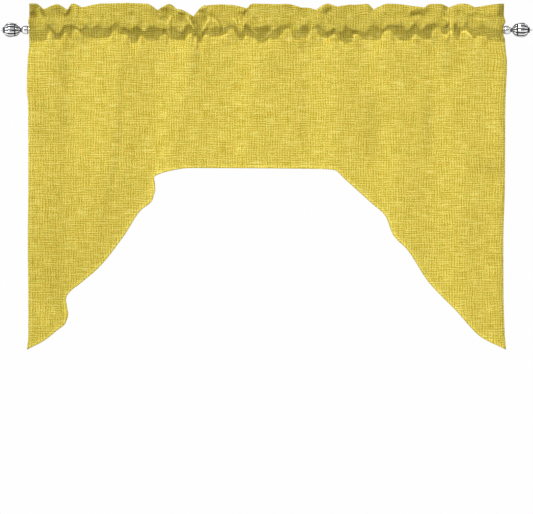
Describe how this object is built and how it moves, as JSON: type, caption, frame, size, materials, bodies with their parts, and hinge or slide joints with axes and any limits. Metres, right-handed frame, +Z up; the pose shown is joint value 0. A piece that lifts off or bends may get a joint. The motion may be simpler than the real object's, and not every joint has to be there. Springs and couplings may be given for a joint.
{
  "type": "swag valance and curtain rod",
  "caption": "Short yellow linen-look valance with a ruffled heading and a high arched cut between hanging tails, gathered on a round rod with fluted ball finials.",
  "frame": {"origin": "centre of the rod, halfway along it, where its two brackets hold it", "axes": "+X to the right along the rod as seen from the room, +Y away from the viewer towards the wall, +Z up"},
  "size_m": [1.4024, 0.0378, 0.9132],
  "materials": {
    "cloth": "matt plain weave of uneven linen-look yarns, lemon to mustard yellow",
    "rod": "satin nickel-coloured steel tube",
    "finials": "polished silver-coloured plating"
  },
  "bodies": {
    "root": {"valance": "cloth", "rod": "rod", "collar_left": "finials", "collar_right": "finials", "finial_left": "finials", "finial_right": "finials", "end_cap_left": "finials", "end_cap_right": "finials"}
  },
  "joints": []
}
